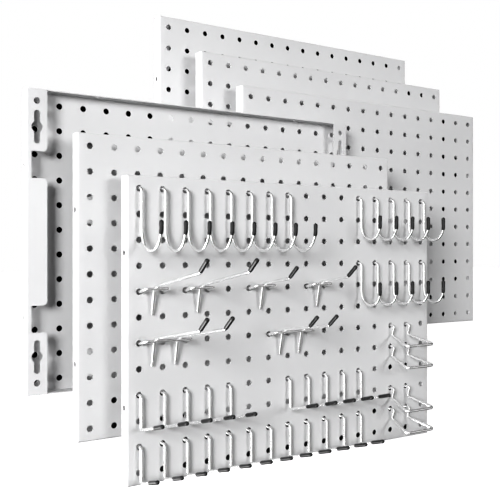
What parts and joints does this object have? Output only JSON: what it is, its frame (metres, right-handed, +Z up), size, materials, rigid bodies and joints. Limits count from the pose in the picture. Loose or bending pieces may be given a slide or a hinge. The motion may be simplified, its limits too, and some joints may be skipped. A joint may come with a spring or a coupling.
{
  "type": "pegboard tool wall",
  "caption": "Staggered stack of white steel pegboard panels, one turned to show its back, with chrome J hooks, L hooks, plier hooks and wire loops on the front one.",
  "frame": {"origin": "on the wall plane behind the rear panel, midway across and midway up the whole stack", "axes": "+X to the right as seen from the front, +Y into the wall, +Z up; the panels face -Y"},
  "size_m": [0.6714, 0.2816, 0.5168],
  "materials": {
    "powder_coat": "fine satin powder coat, white",
    "chrome_wire": "bright zinc and chrome plating",
    "vinyl_cap": "glossy black dipped vinyl"
  },
  "bodies": {
    "front_panel": {"front_panel": "powder_coat"},
    "second_panel": {"second_panel": "powder_coat"},
    "turned_panel": {"turned_panel": "powder_coat"},
    "fourth_panel": {"fourth_panel": "powder_coat"},
    "fifth_panel": {"fifth_panel": "powder_coat"},
    "rear_panel": {"rear_panel": "powder_coat"},
    "large_j_hook_1": {"large_j_hook_1": "chrome_wire"},
    "large_j_hook_2": {"large_j_hook_2": "chrome_wire"},
    "large_j_hook_3": {"large_j_hook_3": "chrome_wire"},
    "large_j_hook_4": {"large_j_hook_4": "chrome_wire"},
    "large_j_hook_5": {"large_j_hook_5": "chrome_wire"},
    "large_j_hook_6": {"large_j_hook_6": "chrome_wire"},
    "large_j_hook_7": {"large_j_hook_7": "chrome_wire"},
    "large_j_hook_8": {"large_j_hook_8": "chrome_wire"},
    "upper_small_j_hook_1": {"upper_small_j_hook_1": "chrome_wire"},
    "upper_small_j_hook_2": {"upper_small_j_hook_2": "chrome_wire"},
    "upper_small_j_hook_3": {"upper_small_j_hook_3": "chrome_wire"},
    "upper_small_j_hook_4": {"upper_small_j_hook_4": "chrome_wire"},
    "upper_small_j_hook_5": {"upper_small_j_hook_5": "chrome_wire"},
    "lower_small_j_hook_1": {"lower_small_j_hook_1": "chrome_wire"},
    "lower_small_j_hook_2": {"lower_small_j_hook_2": "chrome_wire"},
    "lower_small_j_hook_3": {"lower_small_j_hook_3": "chrome_wire"},
    "lower_small_j_hook_4": {"lower_small_j_hook_4": "chrome_wire"},
    "lower_small_j_hook_5": {"lower_small_j_hook_5": "chrome_wire"},
    "long_plier_hook_1": {"long_plier_hook_1": "chrome_wire"},
    "long_plier_hook_2": {"long_plier_hook_2": "chrome_wire"},
    "short_plier_hook_1": {"short_plier_hook_1": "chrome_wire"},
    "short_plier_hook_2": {"short_plier_hook_2": "chrome_wire"},
    "long_double_hook_1": {"long_double_hook_1": "chrome_wire"},
    "short_double_hook_1": {"short_double_hook_1": "chrome_wire"},
    "long_l_hook_1": {"long_l_hook_1": "chrome_wire"},
    "long_l_hook_2": {"long_l_hook_2": "chrome_wire"},
    "long_l_hook_3": {"long_l_hook_3": "chrome_wire"},
    "long_l_hook_4": {"long_l_hook_4": "chrome_wire"},
    "long_l_hook_5": {"long_l_hook_5": "chrome_wire"},
    "long_l_hook_6": {"long_l_hook_6": "chrome_wire"},
    "long_l_hook_7": {"long_l_hook_7": "chrome_wire"},
    "long_l_hook_8": {"long_l_hook_8": "chrome_wire"},
    "long_l_hook_9": {"long_l_hook_9": "chrome_wire"},
    "long_l_hook_10": {"long_l_hook_10": "chrome_wire"},
    "short_l_hook_1": {"short_l_hook_1": "chrome_wire"},
    "short_l_hook_2": {"short_l_hook_2": "chrome_wire"},
    "short_l_hook_3": {"short_l_hook_3": "chrome_wire"},
    "short_l_hook_4": {"short_l_hook_4": "chrome_wire"},
    "short_l_hook_5": {"short_l_hook_5": "chrome_wire"},
    "short_l_hook_6": {"short_l_hook_6": "chrome_wire"},
    "short_l_hook_7": {"short_l_hook_7": "chrome_wire"},
    "short_l_hook_8": {"short_l_hook_8": "chrome_wire"},
    "short_l_hook_9": {"short_l_hook_9": "chrome_wire"},
    "short_l_hook_10": {"short_l_hook_10": "chrome_wire"},
    "short_l_hook_11": {"short_l_hook_11": "chrome_wire"},
    "short_l_hook_12": {"short_l_hook_12": "chrome_wire"},
    "wire_loop_1": {"wire_loop_1": "chrome_wire"},
    "wire_loop_2": {"wire_loop_2": "chrome_wire"},
    "wire_loop_3": {"wire_loop_3": "chrome_wire"},
    "wire_loop_4": {"wire_loop_4": "chrome_wire"}
  },
  "joints": [
    {"name": "lift_second_panel", "type": "slide", "parent": "front_panel", "child": "second_panel", "axis": [0, 0, 1], "range_m": [0, 0.0137]},
    {"name": "lift_turned_panel", "type": "slide", "parent": "front_panel", "child": "turned_panel", "axis": [0, 0, 1], "range_m": [0, 0.0137]},
    {"name": "lift_fourth_panel", "type": "slide", "parent": "front_panel", "child": "fourth_panel", "axis": [0, 0, 1], "range_m": [0, 0.0137]},
    {"name": "lift_fifth_panel", "type": "slide", "parent": "front_panel", "child": "fifth_panel", "axis": [0, 0, 1], "range_m": [0, 0.0137]},
    {"name": "lift_rear_panel", "type": "slide", "parent": "front_panel", "child": "rear_panel", "axis": [0, 0, 1], "range_m": [0, 0.0137]},
    {"name": "lift_large_j_hook_8", "type": "hinge", "parent": "front_panel", "child": "large_j_hook_8", "pos_m": [-0.0648, -0.1631, 0.0397], "axis": [-1, 0, 0], "range_deg": [0, 90]},
    {"name": "lift_upper_small_j_hook_1", "type": "hinge", "parent": "front_panel", "child": "upper_small_j_hook_1", "pos_m": [0.0368, -0.1631, 0.0397], "axis": [-1, 0, 0], "range_deg": [0, 90]},
    {"name": "lift_lower_small_j_hook_5", "type": "hinge", "parent": "front_panel", "child": "lower_small_j_hook_5", "pos_m": [0.1384, -0.1631, -0.0365], "axis": [-1, 0, 0], "range_deg": [0, 70]},
    {"name": "lift_long_plier_hook_1", "type": "hinge", "parent": "front_panel", "child": "long_plier_hook_1", "pos_m": [-0.2426, -0.1631, -0.0619], "axis": [-1, 0, 0], "range_deg": [0, 75]},
    {"name": "lift_short_plier_hook_2", "type": "hinge", "parent": "front_panel", "child": "short_plier_hook_2", "pos_m": [-0.0394, -0.1631, -0.0619], "axis": [-1, 0, 0], "range_deg": [0, 70]},
    {"name": "lift_long_double_hook_1", "type": "hinge", "parent": "front_panel", "child": "long_double_hook_1", "pos_m": [-0.2426, -0.1631, -0.1127], "axis": [-1, 0, 0], "range_deg": [0, 15]},
    {"name": "lift_short_double_hook_1", "type": "hinge", "parent": "front_panel", "child": "short_double_hook_1", "pos_m": [-0.0902, -0.1631, -0.1127], "axis": [-1, 0, 0], "range_deg": [0, 70]},
    {"name": "lift_long_l_hook_1", "type": "hinge", "parent": "front_panel", "child": "long_l_hook_1", "pos_m": [-0.2426, -0.1631, -0.1635], "axis": [-1, 0, 0], "range_deg": [0, 90]},
    {"name": "lift_short_l_hook_1", "type": "hinge", "parent": "front_panel", "child": "short_l_hook_1", "pos_m": [-0.2426, -0.1631, -0.2143], "axis": [-1, 0, 0], "range_deg": [0, 50]},
    {"name": "lift_short_l_hook_6", "type": "hinge", "parent": "front_panel", "child": "short_l_hook_6", "pos_m": [-0.1156, -0.1631, -0.2143], "axis": [-1, 0, 0], "range_deg": [0, 90]},
    {"name": "lift_wire_loop_1", "type": "hinge", "parent": "front_panel", "child": "wire_loop_1", "pos_m": [0.0876, -0.1631, -0.1127], "axis": [-1, 0, 0], "range_deg": [0, 65]},
    {"name": "lift_wire_loop_2", "type": "hinge", "parent": "front_panel", "child": "wire_loop_2", "pos_m": [0.0876, -0.1631, -0.1381], "axis": [-1, 0, 0], "range_deg": [0, 30]},
    {"name": "lift_wire_loop_3", "type": "hinge", "parent": "front_panel", "child": "wire_loop_3", "pos_m": [0.0876, -0.1631, -0.1889], "axis": [-1, 0, 0], "range_deg": [0, 60]},
    {"name": "lift_wire_loop_4", "type": "hinge", "parent": "front_panel", "child": "wire_loop_4", "pos_m": [0.0876, -0.1631, -0.2143], "axis": [-1, 0, 0], "range_deg": [0, 30]},
    {"name": "lift_large_j_hook_1", "type": "hinge", "parent": "front_panel", "child": "large_j_hook_1", "pos_m": [-0.2426, -0.1631, 0.0397], "axis": [-1, 0, 0], "range_deg": [0, 90]},
    {"name": "lift_large_j_hook_2", "type": "hinge", "parent": "front_panel", "child": "large_j_hook_2", "pos_m": [-0.2172, -0.1631, 0.0397], "axis": [-1, 0, 0], "range_deg": [0, 90]},
    {"name": "lift_large_j_hook_3", "type": "hinge", "parent": "front_panel", "child": "large_j_hook_3", "pos_m": [-0.1918, -0.1631, 0.0397], "axis": [-1, 0, 0], "range_deg": [0, 90]},
    {"name": "lift_large_j_hook_4", "type": "hinge", "parent": "front_panel", "child": "large_j_hook_4", "pos_m": [-0.1664, -0.1631, 0.0397], "axis": [-1, 0, 0], "range_deg": [0, 90]},
    {"name": "lift_large_j_hook_5", "type": "hinge", "parent": "front_panel", "child": "large_j_hook_5", "pos_m": [-0.141, -0.1631, 0.0397], "axis": [-1, 0, 0], "range_deg": [0, 90]},
    {"name": "lift_large_j_hook_6", "type": "hinge", "parent": "front_panel", "child": "large_j_hook_6", "pos_m": [-0.1156, -0.1631, 0.0397], "axis": [-1, 0, 0], "range_deg": [0, 90]},
    {"name": "lift_large_j_hook_7", "type": "hinge", "parent": "front_panel", "child": "large_j_hook_7", "pos_m": [-0.0902, -0.1631, 0.0397], "axis": [-1, 0, 0], "range_deg": [0, 90]},
    {"name": "lift_upper_small_j_hook_2", "type": "hinge", "parent": "front_panel", "child": "upper_small_j_hook_2", "pos_m": [0.0622, -0.1631, 0.0397], "axis": [-1, 0, 0], "range_deg": [0, 90]},
    {"name": "lift_upper_small_j_hook_3", "type": "hinge", "parent": "front_panel", "child": "upper_small_j_hook_3", "pos_m": [0.0876, -0.1631, 0.0397], "axis": [-1, 0, 0], "range_deg": [0, 90]},
    {"name": "lift_upper_small_j_hook_4", "type": "hinge", "parent": "front_panel", "child": "upper_small_j_hook_4", "pos_m": [0.113, -0.1631, 0.0397], "axis": [-1, 0, 0], "range_deg": [0, 90]},
    {"name": "lift_upper_small_j_hook_5", "type": "hinge", "parent": "front_panel", "child": "upper_small_j_hook_5", "pos_m": [0.1384, -0.1631, 0.0397], "axis": [-1, 0, 0], "range_deg": [0, 90]},
    {"name": "lift_lower_small_j_hook_1", "type": "hinge", "parent": "front_panel", "child": "lower_small_j_hook_1", "pos_m": [0.0368, -0.1631, -0.0365], "axis": [-1, 0, 0], "range_deg": [0, 70]},
    {"name": "lift_lower_small_j_hook_2", "type": "hinge", "parent": "front_panel", "child": "lower_small_j_hook_2", "pos_m": [0.0622, -0.1631, -0.0365], "axis": [-1, 0, 0], "range_deg": [0, 70]},
    {"name": "lift_lower_small_j_hook_3", "type": "hinge", "parent": "front_panel", "child": "lower_small_j_hook_3", "pos_m": [0.0876, -0.1631, -0.0365], "axis": [-1, 0, 0], "range_deg": [0, 70]},
    {"name": "lift_lower_small_j_hook_4", "type": "hinge", "parent": "front_panel", "child": "lower_small_j_hook_4", "pos_m": [0.113, -0.1631, -0.0365], "axis": [-1, 0, 0], "range_deg": [0, 70]},
    {"name": "lift_long_plier_hook_2", "type": "hinge", "parent": "front_panel", "child": "long_plier_hook_2", "pos_m": [-0.1918, -0.1631, -0.0619], "axis": [-1, 0, 0], "range_deg": [0, 75]},
    {"name": "lift_short_plier_hook_1", "type": "hinge", "parent": "front_panel", "child": "short_plier_hook_1", "pos_m": [-0.1156, -0.1631, -0.0619], "axis": [-1, 0, 0], "range_deg": [0, 70]},
    {"name": "lift_long_l_hook_2", "type": "hinge", "parent": "front_panel", "child": "long_l_hook_2", "pos_m": [-0.2172, -0.1631, -0.1635], "axis": [-1, 0, 0], "range_deg": [0, 90]},
    {"name": "lift_long_l_hook_3", "type": "hinge", "parent": "front_panel", "child": "long_l_hook_3", "pos_m": [-0.1918, -0.1631, -0.1635], "axis": [-1, 0, 0], "range_deg": [0, 90]},
    {"name": "lift_long_l_hook_4", "type": "hinge", "parent": "front_panel", "child": "long_l_hook_4", "pos_m": [-0.1664, -0.1631, -0.1635], "axis": [-1, 0, 0], "range_deg": [0, 90]},
    {"name": "lift_long_l_hook_5", "type": "hinge", "parent": "front_panel", "child": "long_l_hook_5", "pos_m": [-0.141, -0.1631, -0.1635], "axis": [-1, 0, 0], "range_deg": [0, 90]},
    {"name": "lift_long_l_hook_6", "type": "hinge", "parent": "front_panel", "child": "long_l_hook_6", "pos_m": [-0.0648, -0.1631, -0.1635], "axis": [-1, 0, 0], "range_deg": [0, 90]},
    {"name": "lift_long_l_hook_7", "type": "hinge", "parent": "front_panel", "child": "long_l_hook_7", "pos_m": [-0.0394, -0.1631, -0.1635], "axis": [-1, 0, 0], "range_deg": [0, 90]},
    {"name": "lift_long_l_hook_8", "type": "hinge", "parent": "front_panel", "child": "long_l_hook_8", "pos_m": [-0.014, -0.1631, -0.1635], "axis": [-1, 0, 0], "range_deg": [0, 90]},
    {"name": "lift_long_l_hook_9", "type": "hinge", "parent": "front_panel", "child": "long_l_hook_9", "pos_m": [0.0114, -0.1631, -0.1635], "axis": [-1, 0, 0], "range_deg": [0, 90]},
    {"name": "lift_long_l_hook_10", "type": "hinge", "parent": "front_panel", "child": "long_l_hook_10", "pos_m": [0.0368, -0.1631, -0.1635], "axis": [-1, 0, 0], "range_deg": [0, 90]},
    {"name": "lift_short_l_hook_2", "type": "hinge", "parent": "front_panel", "child": "short_l_hook_2", "pos_m": [-0.2172, -0.1631, -0.2143], "axis": [-1, 0, 0], "range_deg": [0, 50]},
    {"name": "lift_short_l_hook_3", "type": "hinge", "parent": "front_panel", "child": "short_l_hook_3", "pos_m": [-0.1918, -0.1631, -0.2143], "axis": [-1, 0, 0], "range_deg": [0, 50]},
    {"name": "lift_short_l_hook_4", "type": "hinge", "parent": "front_panel", "child": "short_l_hook_4", "pos_m": [-0.1664, -0.1631, -0.2143], "axis": [-1, 0, 0], "range_deg": [0, 50]},
    {"name": "lift_short_l_hook_5", "type": "hinge", "parent": "front_panel", "child": "short_l_hook_5", "pos_m": [-0.141, -0.1631, -0.2143], "axis": [-1, 0, 0], "range_deg": [0, 50]},
    {"name": "lift_short_l_hook_7", "type": "hinge", "parent": "front_panel", "child": "short_l_hook_7", "pos_m": [-0.0902, -0.1631, -0.2143], "axis": [-1, 0, 0], "range_deg": [0, 90]},
    {"name": "lift_short_l_hook_8", "type": "hinge", "parent": "front_panel", "child": "short_l_hook_8", "pos_m": [-0.0648, -0.1631, -0.2143], "axis": [-1, 0, 0], "range_deg": [0, 50]},
    {"name": "lift_short_l_hook_9", "type": "hinge", "parent": "front_panel", "child": "short_l_hook_9", "pos_m": [-0.0394, -0.1631, -0.2143], "axis": [-1, 0, 0], "range_deg": [0, 50]},
    {"name": "lift_short_l_hook_10", "type": "hinge", "parent": "front_panel", "child": "short_l_hook_10", "pos_m": [-0.014, -0.1631, -0.2143], "axis": [-1, 0, 0], "range_deg": [0, 50]},
    {"name": "lift_short_l_hook_11", "type": "hinge", "parent": "front_panel", "child": "short_l_hook_11", "pos_m": [0.0114, -0.1631, -0.2143], "axis": [-1, 0, 0], "range_deg": [0, 50]},
    {"name": "lift_short_l_hook_12", "type": "hinge", "parent": "front_panel", "child": "short_l_hook_12", "pos_m": [0.0368, -0.1631, -0.2143], "axis": [-1, 0, 0], "range_deg": [0, 50]}
  ]
}
